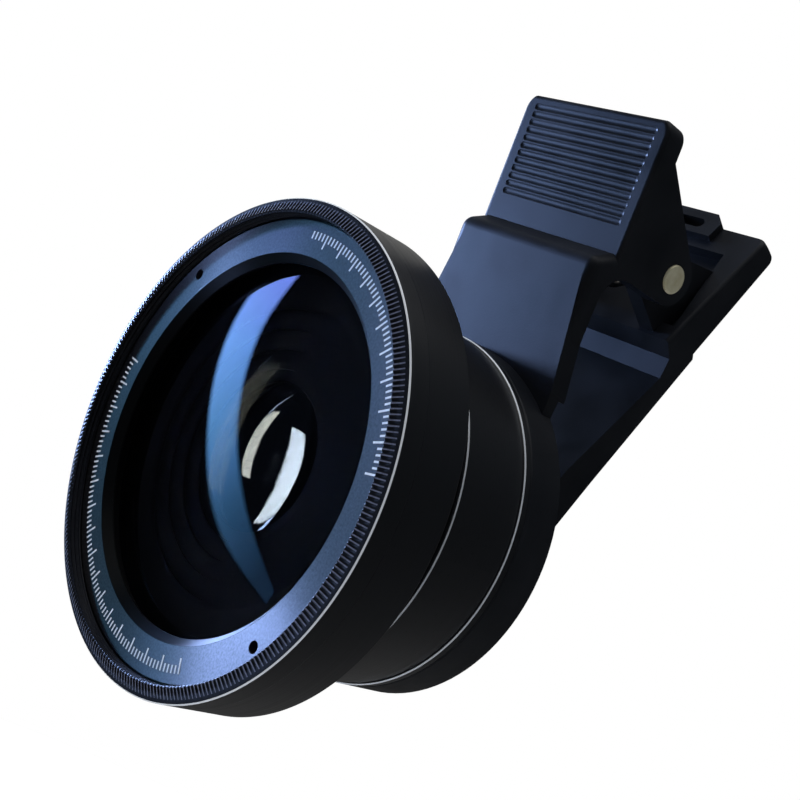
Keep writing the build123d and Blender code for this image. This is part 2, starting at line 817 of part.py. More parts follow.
def leg_length(rest):
    """Length of a straight leg from the coil to this rest."""
    return sqrt((rest[0] - pin_y) ** 2 + (rest[1] - pin_height) ** 2 - coil_radius**2)


front_touch = touch_angle(front_leg_rest, 1)
rear_touch = touch_angle(rear_leg_rest, -1)
turns = spring_whole_turns + ((rear_touch - front_touch) % 360) / 360
coil_length = turns * spring_pitch
coil_plane = Plane(
    origin=(-coil_length / 2, pin_y, pin_height),
    x_dir=(0, cos(radians(front_touch)), sin(radians(front_touch))),
    z_dir=(1, 0, 0),
)
coil = coil_plane * Helix(pitch=spring_pitch, height=coil_length, radius=coil_radius)
front_leg = Line(coil @ 0 - (coil % 0) * leg_length(front_leg_rest), coil @ 0)
rear_leg = Line(coil @ 1, coil @ 1 + (coil % 1) * leg_length(rear_leg_rest))

with BuildPart() as torsion_spring:
    for path in (front_leg, coil, rear_leg):
        with BuildSketch(Plane(origin=path @ 0, z_dir=path % 0)):
            Circle(spring_wire / 2)
        sweep(path=path, is_frenet=True)

torsion_spring.part.label = "torsion_spring"
export_step(torsion_spring.part, "parts/torsion_spring.step")
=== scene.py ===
from math import acos, atan2, cos, hypot, log, pi, radians, sin

import bmesh
import bpy
from mathutils import Matrix, Vector


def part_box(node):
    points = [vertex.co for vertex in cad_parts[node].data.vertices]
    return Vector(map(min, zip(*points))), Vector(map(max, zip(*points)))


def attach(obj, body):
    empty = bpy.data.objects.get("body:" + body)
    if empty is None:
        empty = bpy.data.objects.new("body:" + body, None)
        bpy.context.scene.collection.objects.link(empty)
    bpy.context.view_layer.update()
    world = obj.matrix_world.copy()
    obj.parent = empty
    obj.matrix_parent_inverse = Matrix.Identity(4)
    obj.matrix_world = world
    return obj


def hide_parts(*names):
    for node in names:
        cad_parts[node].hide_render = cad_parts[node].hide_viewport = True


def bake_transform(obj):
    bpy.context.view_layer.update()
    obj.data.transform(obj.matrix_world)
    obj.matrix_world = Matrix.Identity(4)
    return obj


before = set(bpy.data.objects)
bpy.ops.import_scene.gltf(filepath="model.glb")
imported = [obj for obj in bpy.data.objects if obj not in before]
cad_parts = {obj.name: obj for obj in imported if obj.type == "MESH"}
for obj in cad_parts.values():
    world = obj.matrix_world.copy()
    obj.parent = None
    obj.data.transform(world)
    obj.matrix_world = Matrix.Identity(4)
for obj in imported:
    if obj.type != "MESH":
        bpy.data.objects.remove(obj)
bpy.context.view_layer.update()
MM = 0.001


def station(node, axis=1, high=False):
    """Lowest or highest coordinate of a CAD node along one axis, in millimetres."""
    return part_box(node)[1 if high else 0][axis] / MM


# Sizes of the frame, in millimetres. The lens axis is Y and the lens looks along -Y.
WIDE_RADIUS = station("wide_barrel", 0, True)
RIM_FRONT = station("wide_barrel")
SLEEVE_REAR = station("wide_barrel", 1, True)
NAME_RING_RADIUS = station("name_ring", 0, True)
NAME_RING_FRONT = station("name_ring")
NAME_RING_REAR = station("name_ring", 1, True)
GLASS_RADIUS = station("front_glass", 0, True)
GLASS_REAR = station("front_glass", 1, True)
BAFFLE_RADIUS = station("baffle", 0, True)
BAFFLE_REAR = station("baffle", 1, True)
MACRO_RADIUS = station("macro_barrel", 0, True)
MACRO_FRONT = station("macro_barrel")
PLATE_RADIUS = station("thread_ring", 0, True)
RING_FRONT = station("thread_ring")
CROWN_RADIUS = station("rear_crown_glass", 0, True)
CROWN_FRONT = station("rear_crown_glass")
FLINT_REAR = station("rear_flint_glass", 1, True)
MACRO_GLASS_RADIUS = station("macro_glass", 0, True)
MACRO_GLASS_FRONT = station("macro_glass")
MACRO_GLASS_REAR = station("macro_glass", 1, True)
LOCK_REAR = station("rear_lock_ring", 1, True)
PIN_Y = (station("hinge_pin") + station("hinge_pin", 1, True)) / 2
PIN_Z = (station("hinge_pin", 2) + station("hinge_pin", 2, True)) / 2
PIN_RADIUS = (station("hinge_pin", 1, True) - station("hinge_pin")) / 2
NAME_RING_WIDTH = 3.65
NAME_RING_FACE_INNER = NAME_RING_RADIUS - NAME_RING_WIDTH

# Wide barrel, in millimetres
RIM_WALL = 1.75
RIM_LEAD_IN = 0.2
RIM_BEVEL_RISE = 0.57
RIM_POLISH = 0.13
RIM_EDGE_LEAD = 0.04
KNURL_WIDTH = 1.15
KNURL_TEETH = 300
KNURL_PROFILE = (0.0, 0.0, 1.0, 1.0)
KNURL_DEPTH = 0.15
KNURL_FADE = 2.2
KNURL_ROWS = 6
FILTER_THREAD_PITCH = 0.5
FILTER_THREAD_DEPTH = 0.22
RELIEF_DEPTH = 0.4
RELIEF_LENGTH = 0.5
TAIL_RADIUS = 21.0
TAIL_LENGTH = 5.2
THREAD_RADIUS = 18.45
THREAD_PITCH = 0.5
THREAD_DEPTH = 0.2
SLEEVE_WALL = 1.25
HUB_WALL = 2.2
HUB_LIP = 0.75
HUB_CLEAR_RADIUS = 7.9
WEB_THICKNESS = 1.4
SCREW_GAP = 0.05
SEAT_GAP = 0.02
EDGE = 0.1
POLISH_WIDTH = 0.27
POLISH_BAND = 0.13
FILTER_THREAD_ROWS = 24
SLEEVE_THREAD_ROWS = 34
TURNED_SEGMENTS = 360

# Finishes: metal shares, scales of their noises, and room round a mask in millimetres
RING_METAL = 0.92
POLISHED_METAL = 0.2
FINE_GRAIN = 4200
MOULD_GRAIN = 5200
GLASS_CLOUD = 300
MASK_MARGIN = 0.05
RING_FACE_MARGIN = 0.03

# Curves of the glasses, in millimetres
FRONT_CURVE = 150.0
HOLLOW_CURVE = 46.0
HOLLOW_RADIUS = 16.0
FRONT_GLASS_MIDDLE = 2.0
CROWN_CURVE = 22.0
CROWN_EDGE = 1.1
CEMENT_CURVE = 20.0
CEMENT_GAP = 0.02
FLINT_CURVE = 240.0
MACRO_CURVE = 42.0
LENS_SEGMENTS = 180
DOME_STEPS = 28
FRONT_DOME_STEPS = 40

# Tick scale on the name ring: two arcs, in degrees round the lens axis from +X
TICK_ARCS = ((13.0, 94.0), (175.0, 295.0))
TICK_SPACING = 1.5
TICKS_PER_MAJOR = 5
TICK_MAJOR_LENGTH = 1.5
TICK_MINOR_LENGTH = 0.8
TICK_WIDTH = 0.2
TICK_OUTER_RADIUS = 23.0
TICK_RISE = 0.02

# Torsion spring
SPRING_WIRE = 0.9
SPRING_PITCH = 1.05
SPRING_WHOLE_TURNS = 5
SPRING_PIN_GAP = 0.5
SPRING_STEPS = 48
SPRING_LEG_STEPS = 6
SPRING_SIDES = 16
SPRING_TIP = 0.6

# Camera: its own right, down and forward directions in the frame
CAMERA_PLACE = (100.964, -102.17, 14.988)
CAMERA_RIGHT = (0.59428, 0.67411, 0.43864)
CAMERA_DOWN = (0.31361, 0.30799, -0.89821)
CAMERA_LENS = 55.834
CAMERA_SENSOR = 36.0


def direction(azimuth, elevation):
    """Unit vector towards a compass place. Azimuth 0 is -Y and 90 is +X, in degrees."""
    a = radians(azimuth)
    e = radians(elevation)
    return Vector((sin(a) * cos(e), -cos(a) * cos(e), sin(e)))


def srgb(red, green, blue):
    """Linear colour from three sRGB values out of 255."""
    linear = []
    for value in (red, green, blue):
        c = value / 255
        linear.append(c / 12.92 if c < 0.04045 else ((c + 0.055) / 1.055) ** 2.4)
    return (*linear, 1.0)


class Shader:
    """A material with one main shader, and short ways to add its nodes."""

    def __init__(self, name, colour, roughness, **sockets):
        self.material = bpy.data.materials.new(name)
        self.material.use_nodes = True
        self.tree = self.material.node_tree
        self.main = self.tree.nodes["Principled BSDF"]
        self.main.inputs["Base Color"].default_value = colour
        self.main.inputs["Roughness"].default_value = roughness
        for socket, value in sockets.items():
            self.main.inputs[socket.replace("_", " ")].default_value = value

    def node(self, kind, **values):
        made = self.tree.nodes.new("ShaderNode" + kind)
        for name, value in values.items():
            setattr(made, name, value)
        return made

    def link(self, source, target):
        self.tree.links.new(source, target)

    def math(self, operation, first, second=None):
        """Output of a Math node. Its inputs are numbers or other outputs."""
        made = self.node("Math", operation=operation)
        for place, value in enumerate((first, second)):
            if isinstance(value, bpy.types.NodeSocket):
                self.link(value, made.inputs[place])
            elif value is not None:
                made.inputs[place].default_value = value
        return made.outputs[0]

    def add(self, first, second):
        """Sum of two vector outputs, or the second alone where the first is missing."""
        if first is None:
            return second
        made = self.node("VectorMath", operation="ADD")
        self.link(first, made.inputs[0])
        self.link(second, made.inputs[1])
        return made.outputs[0]

    def place(self):
        """Object coordinates, as one output and as its three parts."""
        where = self.node("TexCoord").outputs["Object"]
        split = self.node("SeparateXYZ")
        self.link(where, split.inputs[0])
        return where, split.outputs

    def radius(self):
        """Distance from the lens axis, and the place along it."""
        parts = self.place()[1]
        across = self.math("POWER", parts[0], 2)
        up = self.math("POWER", parts[2], 2)
        return self.math("SQRT", self.math("ADD", across, up)), parts[1]

    def noise(self, scale, detail=3.0, vector=None):
        made = self.node("TexNoise")
        made.inputs["Scale"].default_value = scale
        made.inputs["Detail"].default_value = detail
        self.link(vector or self.place()[0], made.inputs["Vector"])
        return made.outputs["Fac"]

    def spread(self, value, low, high, start=0.3, end=0.7):
        """A value from start to end mapped to low to high."""
        made = self.node("MapRange")
        self.link(value, made.inputs["Value"])
        made.inputs["From Min"].default_value = start
        made.inputs["From Max"].default_value = end
        made.inputs["To Min"].default_value = low
        made.inputs["To Max"].default_value = high
        return made.outputs["Result"]

    def rough(self, value, low, high):
        self.link(self.spread(value, low, high), self.main.inputs["Roughness"])

    def tint(self, value, first, second, start=0.3, end=0.7):
        """Base colour between two colours, by a value."""
        ramp = self.node("ValToRGB")
        ramp.color_ramp.elements[0].position = start
        ramp.color_ramp.elements[1].position = end
        ramp.color_ramp.elements[0].color = first
        ramp.color_ramp.elements[1].color = second
        self.link(value, ramp.inputs[0])
        self.link(ramp.outputs[0], self.main.inputs["Base Color"])
        return ramp.outputs[0]

    def bump(self, height, depth, strength=1.0):
        """Bump of a height from 0 to 1 over a depth in millimetres, on top of what is there."""
        made = self.node("Bump")
        made.inputs["Strength"].default_value = strength
        made.inputs["Distance"].default_value = depth * MM
        self.link(height, made.inputs["Height"])
        for old in self.main.inputs["Normal"].links:
            self.link(old.from_socket, made.inputs["Normal"])
        self.link(made.outputs[0], self.main.inputs["Normal"])

    def turned(self, spacing):
        """Height of the fine lines that a lathe leaves round the lens axis."""
        radius, along = self.radius()
        joined = self.node("CombineXYZ")
        self.link(radius, joined.inputs[0])
        self.link(along, joined.inputs[1])
        return self.noise(1 / (spacing * MM), 2.0, joined.outputs[0])


def black_anodised():
    """Black anodised aluminium, turned, with bright cut edges where the rims are polished."""
    s = Shader("black_anodised", srgb(17, 18, 21), 0.32)
    lines = s.turned(0.12)
    s.rough(lines, 0.27, 0.4)
    s.bump(lines, 0.004, 0.5)
    s.bump(s.noise(MOULD_GRAIN), 0.004, 0.5)
    radius, along = s.radius()
    edges = None
    for outer, front in ((MACRO_RADIUS, MACRO_FRONT), (PLATE_RADIUS, RING_FRONT)):
        reach = s.math("GREATER_THAN", radius, (outer - POLISH_BAND) * MM)
        inside = s.math("LESS_THAN", radius, (outer + MASK_MARGIN) * MM)
        near = s.math("LESS_THAN", along, (front + POLISH_WIDTH) * MM)
        behind = s.math("GREATER_THAN", along, (front - MASK_MARGIN) * MM)
        one = s.math("MULTIPLY", s.math("MULTIPLY", reach, inside), s.math("MULTIPLY", near, behind))
        edges = one if edges is None else s.math("MAXIMUM", edges, one)
    s.link(s.math("MULTIPLY", edges, POLISHED_METAL), s.main.inputs["Metallic"])
    s.tint(edges, srgb(17, 18, 21), srgb(190, 194, 200), 0.4, 0.6)
    return s.material


def knurled_black():
    """Black anodised aluminium of the knurled rim."""
    s = Shader("knurled_black", srgb(15, 16, 19), 0.42, Specular_IOR_Level=0.15)
    fine = s.noise(FINE_GRAIN)
    s.rough(fine, 0.38, 0.48)
    s.tint(fine, srgb(13, 14, 18), srgb(22, 24, 30))
    s.bump(s.noise(7000), 0.004, 0.5)
    return s.material


def knurl_crest_highlight():
    """Crests of the knurl, paler and bluer than the rest of the rim: a painted highlight of the window's
    light on the teeth.
    """
    # Pale blue base and its two tints are painted highlight on the knurl's crests, not a colour of the
    # metal.
    s = Shader("knurl_crest_highlight", srgb(84, 90, 112), 0.4, Specular_IOR_Level=0.4)
    fine = s.noise(FINE_GRAIN)
    s.rough(fine, 0.36, 0.46)
    s.tint(fine, srgb(70, 75, 95), srgb(98, 104, 128))
    return s.material


def polished_edge():
    """Bare aluminium, cut bright."""
    s = Shader("polished_edge", srgb(205, 208, 212), 0.16, Metallic=POLISHED_METAL)
    lines = s.turned(0.05)
    s.rough(lines, 0.1, 0.24)
    s.tint(lines, srgb(206, 210, 216), srgb(232, 234, 238))
    return s.material


def ring_satin():
    """Satin face of the name ring, spun so that light spreads across the spin lines."""
    s = Shader("ring_satin", srgb(86, 86, 90), 0.33, Anisotropic=0.95, Anisotropic_Rotation=0.25)
    tangent = s.node("Tangent", direction_type="RADIAL", axis="Y")
    s.link(tangent.outputs[0], s.main.inputs["Tangent"])
    radius = s.radius()[0]
    face = s.math("GREATER_THAN", radius, (NAME_RING_FACE_INNER + RING_FACE_MARGIN) * MM)
    grain = s.noise(FINE_GRAIN)
    s.rough(grain, 0.31, 0.35)
    speckled = s.math("MULTIPLY", face, s.spread(grain, 0.6, 1.0))
    s.tint(speckled, srgb(7, 8, 9), srgb(88, 88, 92), 0.0, 1.0)
    s.link(s.math("MULTIPLY", face, RING_METAL), s.main.inputs["Metallic"])
    s.link(s.spread(face, 0.12, 0.5, 0.0, 1.0), s.main.inputs["Specular IOR Level"])
    s.bump(s.noise(6500), 0.003, 0.5)
    return s.material


def coated_glass():
    """Front face of the front glass, coated thinly, with a violet and blue reflection."""
    s = Shader("coated_glass", srgb(236, 240, 248), 0.0, Transmission_Weight=1.0, IOR=1.52)
    s.main.inputs["Thin Film Thickness"].default_value = 135.0
    s.main.inputs["Thin Film IOR"].default_value = 1.38
    s.rough(s.noise(GLASS_CLOUD), 0.0, 0.012)
    return s.material


def dim_glass(name, index):
    """Glass face that reflects little, because it is coated or cemented to the next glass."""
    s = Shader(name, srgb(236, 240, 248), 0.0, Transmission_Weight=1.0, IOR=index)
    s.rough(s.noise(GLASS_CLOUD), 0.0, 0.012)
    return s.material


def rear_glass():
    """Rear face of the flint glass, the brightest mirror inside the lens."""
    s = Shader("rear_glass", srgb(226, 240, 248), 0.0, Transmission_Weight=1.0, IOR=1.88)
    s.rough(s.noise(GLASS_CLOUD), 0.0, 0.012)
    return s.material


def inner_glass():
    """Plain faces of the crown glass and of the macro lens's glass."""
    s = Shader("inner_glass", srgb(236, 240, 248), 0.0, Transmission_Weight=1.0, IOR=1.56)
    s.rough(s.noise(GLASS_CLOUD), 0.0, 0.015)
    return s.material


def matt_black():
    """Flat black paint inside the lens, on lathe lines."""
    s = Shader("matt_black", srgb(8, 9, 11), 0.6, Specular_IOR_Level=0.06)
    lines = s.turned(0.25)
    s.rough(lines, 0.5, 0.75)
    s.tint(lines, srgb(6, 7, 9), srgb(11, 12, 15))
    s.bump(lines, 0.01, 0.6)
    return s.material


def clip_plastic():
    """Black moulded plastic with a fine spark-eroded grain."""
    s = Shader("clip_plastic", srgb(18, 20, 24), 0.45, Specular_IOR_Level=0.2)
    cloud = s.noise(160, 4.0)
    grain = s.noise(MOULD_GRAIN, 2.0)
    s.tint(cloud, srgb(15, 17, 21), srgb(22, 24, 29))
    s.rough(cloud, 0.38, 0.56)
    s.bump(grain, 0.012, 0.7)
    s.bump(s.noise(900, 2.0), 0.01, 0.4)
    s.bump(cloud, 0.05, 0.5)
    return s.material


def pad_rubber():
    """Soft black foam rubber."""
    s = Shader("pad_rubber", srgb(24, 24, 26), 0.85)
    cells = s.node("TexVoronoi")
    cells.inputs["Scale"].default_value = 3200
    s.link(s.place()[0], cells.inputs["Vector"])
    s.tint(cells.outputs["Distance"], srgb(30, 30, 32), srgb(16, 16, 18), 0.1, 0.6)
    s.rough(s.noise(2500), 0.75, 0.95)
    s.bump(cells.outputs["Distance"], 0.05, 0.8)
    return s.material


def pin_steel():
    """Hinge pin: pale steel, tinted warm tan as a painted reflection of warm light."""
    # Warm tan base and its two cloud tones: pale steel with a painted reflection of warm light, varying at
    # random.
    s = Shader("pin_steel", srgb(190, 183, 152), 0.36, Metallic=0.5)
    cloud = s.noise(900, 2.0)
    s.tint(cloud, srgb(182, 174, 142), srgb(202, 197, 170))
    s.rough(cloud, 0.32, 0.42)
    s.bump(s.noise(1500, 2.0), 0.004, 0.4)
    return s.material


def spring_steel():
    """Drawn spring wire, grey."""
    s = Shader("spring_steel", srgb(120, 118, 114), 0.34, Metallic=1.0)
    cloud = s.noise(1500, 3.0)
    s.tint(cloud, srgb(92, 90, 87), srgb(140, 138, 134))
    s.rough(cloud, 0.26, 0.44)
    s.bump(s.noise(6000), 0.006, 0.5)
    return s.material


def tick_paint():
    """Printed white of the ticks."""
    s = Shader("tick_paint", srgb(206, 212, 222), 0.5)
    cloud = s.noise(2600)
    s.tint(cloud, srgb(192, 198, 210), srgb(218, 223, 232))
    s.rough(cloud, 0.45, 0.6)
    return s.material


MATERIALS = {
    "black_anodised": black_anodised(),
    "ring_satin": ring_satin(),
    "coated_glass": coated_glass(),
    "inner_glass": inner_glass(),
    "matt_black": matt_black(),
    "clip_plastic": clip_plastic(),
    "pad_rubber": pad_rubber(),
    "pin_steel": pin_steel(),
    "spring_steel": spring_steel(),
}
for cad_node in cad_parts.values():
    for own_slot in cad_node.material_slots:
        own_slot.material = MATERIALS[own_slot.material.name]


def add_object(name, points, faces, materials, indices=None, crease=35):
    """Mesh object from points in metres, smooth but for edges sharper than crease degrees."""
    mesh = bpy.data.meshes.new(name)
    mesh.from_pydata(points, [], faces)
    for material in materials:
        mesh.materials.append(material)
    if indices:
        mesh.polygons.foreach_set("material_index", indices)
    whole = bmesh.new()
    whole.from_mesh(mesh)
    bmesh.ops.recalc_face_normals(whole, faces=whole.faces)
    whole.to_mesh(mesh)
    whole.free()
    mesh.polygons.foreach_set("use_smooth", [True] * len(mesh.polygons))
    mesh.set_sharp_from_angle(angle=radians(crease))
    made = bpy.data.objects.new(name, mesh)
    bpy.context.scene.collection.objects.link(made)
    return made


def softened(corners, steps=3):
    """Closed outline of (radius, y) points from (radius, y, round, finish) corners."""
    outline = []
    for i, (radius, y, size, finish) in enumerate(corners):
        before = Vector(corners[i - 1][:2])
        here = Vector((radius, y))
        after = Vector(corners[(i + 1) % len(corners)][:2])
        if size == 0:
            outline.append((radius, y, finish))
            continue
        start = here + (before - here).normalized() * size
        end = here + (after - here).normalized() * size
        for step in range(steps + 1):
            t = step / steps
            point = start * (1 - t) ** 2 + here * 2 * t * (1 - t) + end * t**2
            outline.append((point[0], point[1], finish))
    return outline


def lathe(name, outline, segments, materials, shape=None, finish=None):
    """Ring swept round the lens axis. Each outline point's finish is that of the band after it.

    shape moves the points, and finish, where given, chooses the finish of each face instead.
    """
    points = []
    for turn in range(segments):
        angle = 2 * pi * turn / segments
        for place, (radius, y, _) in enumerate(outline):
            r, along = (radius, y) if shape is None else shape(place, radius, y, turn, angle)
            points.append((r * cos(angle) * MM, along * MM, r * sin(angle) * MM))
    count = len(outline)
    faces = []
    indices = []
    for turn in range(segments):
        here = turn * count
        there = ((turn + 1) % segments) * count
        for place in range(count):
            after = (place + 1) % count
            faces.append((here + place, there + place, there + after, here + after))
            indices.append(finish(place, turn) if finish else outline[place][2])
    return add_object(name, points, faces, materials, indices)


def rows(start, end, number):
    """Evenly spaced (radius, y) points from start up to, but without, end."""
    made = []
    for row in range(number):
        t = row / number
        made.append((start[0] + (end[0] - start[0]) * t, start[1] + (end[1] - start[1]) * t))
    return made


def thread_wave(y, angle, pitch, start, end):
    """Depth, from 0 on the crest to 1 in the root, of a helical thread that fades at its ends."""
    phase = (y / pitch + angle / (2 * pi)) % 1.0
    depth = 1 - abs(2 * phase - 1)
    fade = min(1.0, (y - start) / (0.5 * pitch), (end - y) / (0.5 * pitch))
    return depth * max(0.0, fade)


FILTER_RADIUS = WIDE_RADIUS - RIM_WALL
THREAD_FRONT = RIM_FRONT + RIM_LEAD_IN
BEVEL_START = (FILTER_RADIUS + RIM_LEAD_IN, RIM_FRONT)
BEVEL_END = (WIDE_RADIUS - RIM_POLISH, RIM_FRONT + RIM_BEVEL_RISE)
RIM_EDGE = BEVEL_END[1] + RIM_POLISH


def make_rim():
    """Front of the wide barrel: filter thread inside, knurled bevel, chamfer and bright edge."""
    slope = Vector(BEVEL_END) - Vector(BEVEL_START)
    bevel_length = slope.length
    slope.normalize()
    inward = Vector((-slope[1], slope[0]))
    if inward[1] < 0:
        inward = -inward
    knurl_end = Vector(BEVEL_START) + slope * KNURL_WIDTH
    thread_rows = rows((FILTER_RADIUS, NAME_RING_FRONT), (FILTER_RADIUS, THREAD_FRONT), FILTER_THREAD_ROWS)
    knurl_rows = rows(BEVEL_START, knurl_end, KNURL_ROWS)
    outline = [(r, y, 0) for r, y in thread_rows]
    outline.append((FILTER_RADIUS, THREAD_FRONT, 0))
    first_knurl = len(outline)
    outline += [(r, y, 0) for r, y in knurl_rows]
    last_knurl = len(outline) - 1
    outline.append((knurl_end[0], knurl_end[1], 0))
    outline.append((*(Vector(BEVEL_END) - slope * RIM_EDGE_LEAD), 0))
    outline.append((*BEVEL_END, 1))
    outline.append((WIDE_RADIUS, RIM_EDGE, 0))
    steps = len(KNURL_PROFILE)

    def shape(place, radius, y, turn, angle):
        if place < len(thread_rows):
            depth = thread_wave(y, angle, FILTER_THREAD_PITCH, THREAD_FRONT, NAME_RING_FRONT)
            return radius + FILTER_THREAD_DEPTH * depth, y
        if first_knurl <= place <= last_knurl:
            share = (place - first_knurl) / (last_knurl + 1 - first_knurl)
            fade = min(1.0, KNURL_FADE * (1 - share))
            depth = KNURL_PROFILE[turn % steps] * KNURL_DEPTH * fade
            moved = Vector((radius, y)) + inward * depth
            return moved[0], moved[1]
        return radius, y

    def finish(place, turn):
        # Faces on the knurl's crests take the painted highlight finish.
        on_crest = first_knurl <= place <= last_knurl and turn % steps == 0
        return 2 if on_crest else outline[place][2]

    materials = [knurled_black(), polished_edge(), knurl_crest_highlight()]
    return lathe("wide_rim", outline, KNURL_TEETH * steps, materials, shape, finish)


def make_wide_body():
    """Rest of the wide barrel: side wall, tail, threaded sleeve, hub and the glass seats."""
    tail_front = MACRO_FRONT - TAIL_LENGTH
    web_front = BAFFLE_REAR + SEAT_GAP
    web_rear = web_front + WEB_THICKNESS
    hub_bore = CROWN_RADIUS + SEAT_GAP
    sleeve_bore = THREAD_RADIUS - SLEEVE_WALL
    relief = (FILTER_RADIUS + RELIEF_DEPTH, NAME_RING_FRONT + RELIEF_LENGTH)
    thread_rows = rows((THREAD_RADIUS, MACRO_FRONT), (THREAD_RADIUS, SLEEVE_REAR), SLEEVE_THREAD_ROWS)
    side = softened(
        [
            (WIDE_RADIUS, RIM_EDGE, 0, 0),
            (WIDE_RADIUS, tail_front, 0.25, 0),
            (TAIL_RADIUS, tail_front, 0, 0),
            (TAIL_RADIUS, MACRO_FRONT, EDGE, 0),
        ]
    )
    inside = softened(
        [
            (THREAD_RADIUS, SLEEVE_REAR, EDGE, 0),
            (sleeve_bore, SLEEVE_REAR, EDGE, 0),
            (sleeve_bore, web_rear, 0, 1),
            (hub_bore + HUB_WALL, web_rear, 0, 1),
            (hub_bore + HUB_WALL, LOCK_REAR, EDGE, 1),
            (hub_bore, LOCK_REAR, 0, 1),
            (hub_bore, web_front + HUB_LIP, 0, 1),
            (HUB_CLEAR_RADIUS, web_front + HUB_LIP, 0, 1),
            (HUB_CLEAR_RADIUS, web_front, EDGE, 1),
            (BAFFLE_RADIUS + SCREW_GAP, web_front, 0, 1),
            (BAFFLE_RADIUS + SCREW_GAP, GLASS_REAR + SEAT_GAP, 0, 1),
            (GLASS_RADIUS + SEAT_GAP, GLASS_REAR + SEAT_GAP, 0, 1),
            (GLASS_RADIUS + SEAT_GAP, NAME_RING_REAR + SEAT_GAP, 0, 1),
            (NAME_RING_RADIUS + SCREW_GAP, NAME_RING_REAR + SEAT_GAP, 0, 0),
            (NAME_RING_RADIUS + SCREW_GAP, relief[1], 0, 0),
            (*relief, 0, 0),
            (relief[0], NAME_RING_FRONT, 0, 0),
            (FILTER_RADIUS, NAME_RING_FRONT, 0, 0),
        ]
    )
    first = len(side)
    outline = side + [(r, y, 0) for r, y in thread_rows] + inside

    def shape(place, radius, y, turn, angle):
        if first <= place < first + len(thread_rows):
            depth = thread_wave(y, angle, THREAD_PITCH, MACRO_FRONT, SLEEVE_REAR)
            return radius - THREAD_DEPTH * depth, y
        return radius, y

    materials = [MATERIALS["black_anodised"], MATERIALS["matt_black"]]
    return lathe("wide_body", outline, TURNED_SEGMENTS, materials, shape)


def sag(curve, radius):
    """Depth of a spherical face of this curve radius, from its middle out to a radius."""
    return curve - (curve * curve - radius * radius) ** 0.5


def dome(vertex, curve, radius, steps=DOME_STEPS):
    """(radius, y) points of a spherical face from near its middle out to its edge."""
    size = abs(curve)
    hand = 1 if curve > 0 else -1
    made = []
    for step in range(1, steps + 1):
        r = radius * step / steps
        made.append((r, vertex + hand * sag(size, r)))
    return made


def lens(name, front_vertex, front, rear_vertex, rear, glass, rear_glass=None):
    """Glass turned from its front face, its edge painted black and its rear face."""
    outline = [(r, y, 0) for r, y in front]
    outline[-1] = (*front[-1], 1)
    rear_finish = 2 if rear_glass else 0
    rear_points = [(r, y, rear_finish) for r, y in reversed(rear)]
    if rear[-1][0] < front[-1][0]:
        outline.append((front[-1][0], rear[-1][1], 1))
    outline += rear_points
    count = len(outline)
    points = []
    for turn in range(LENS_SEGMENTS):
        angle = 2 * pi * turn / LENS_SEGMENTS
        for r, y, _ in outline:
            points.append((r * cos(angle) * MM, y * MM, r * sin(angle) * MM))
    middle_front = len(points)
    points.append((0, front_vertex * MM, 0))
    points.append((0, rear_vertex * MM, 0))
    faces = []
    indices = []
    for turn in range(LENS_SEGMENTS):
        here = turn * count
        there = ((turn + 1) % LENS_SEGMENTS) * count
        for place in range(count - 1):
            faces.append((here + place, there + place, there + place + 1, here + place + 1))
            indices.append(outline[place][2])
        faces.append((here, middle_front, there))
        faces.append((here + count - 1, there + count - 1, middle_front + 1))
        indices += [0, rear_finish]
    finishes = [glass, MATERIALS["matt_black"]] + ([rear_glass] if rear_glass else [])
    return add_object(name, points, faces, finishes, indices, 20)


def make_glasses():
    """The four glasses, with their edges painted black, and the CAD nodes that they stand for."""
    vertex = NAME_RING_REAR + SEAT_GAP - sag(FRONT_CURVE, NAME_RING_FACE_INNER)
    hollow = vertex + FRONT_GLASS_MIDDLE
    front_glass = lens(
        "front_lens",
        vertex,
        dome(vertex, FRONT_CURVE, GLASS_RADIUS, FRONT_DOME_STEPS),
        hollow,
        dome(hollow, HOLLOW_CURVE, HOLLOW_RADIUS, FRONT_DOME_STEPS),
        MATERIALS["coated_glass"],
        dim_glass("hollow_glass", 1.1),
    )
    cemented = dim_glass("cemented_glass", 1.05)
    cement_edge = CROWN_FRONT + sag(CROWN_CURVE, CROWN_RADIUS) + CROWN_EDGE
    cement = cement_edge + sag(CEMENT_CURVE, CROWN_RADIUS)
    crown = lens(
        "crown_lens",
        CROWN_FRONT,
        dome(CROWN_FRONT, CROWN_CURVE, CROWN_RADIUS),
        cement,
        dome(cement, -CEMENT_CURVE, CROWN_RADIUS),
        MATERIALS["inner_glass"],
        cemented,
    )
    flint = lens(
        "flint_lens",
        cement + CEMENT_GAP,
        dome(cement + CEMENT_GAP, -CEMENT_CURVE, CROWN_RADIUS),
        FLINT_REAR,
        dome(FLINT_REAR, -FLINT_CURVE, CROWN_RADIUS),
        cemented,
        rear_glass(),
    )
    macro = lens(
        "macro_lens_glass",
        MACRO_GLASS_FRONT,
        dome(MACRO_GLASS_FRONT, MACRO_CURVE, MACRO_GLASS_RADIUS),
        MACRO_GLASS_REAR,
        dome(MACRO_GLASS_REAR, -MACRO_CURVE, MACRO_GLASS_RADIUS),
        MATERIALS["inner_glass"],
    )
    return (
        (front_glass, "wide_lens", "front_glass", "coated_glass"),
        (crown, "wide_lens", "rear_crown_glass", "inner_glass"),
        (flint, "wide_lens", "rear_flint_glass", "inner_glass"),
        (macro, "macro_lens", "macro_glass", "inner_glass"),
    )


for piece, body, node, slot in make_glasses():
    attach(piece, body)
    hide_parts(node)


for piece in (make_rim(), make_wide_body()):
    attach(piece, "wide_lens")
    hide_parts("wide_barrel")


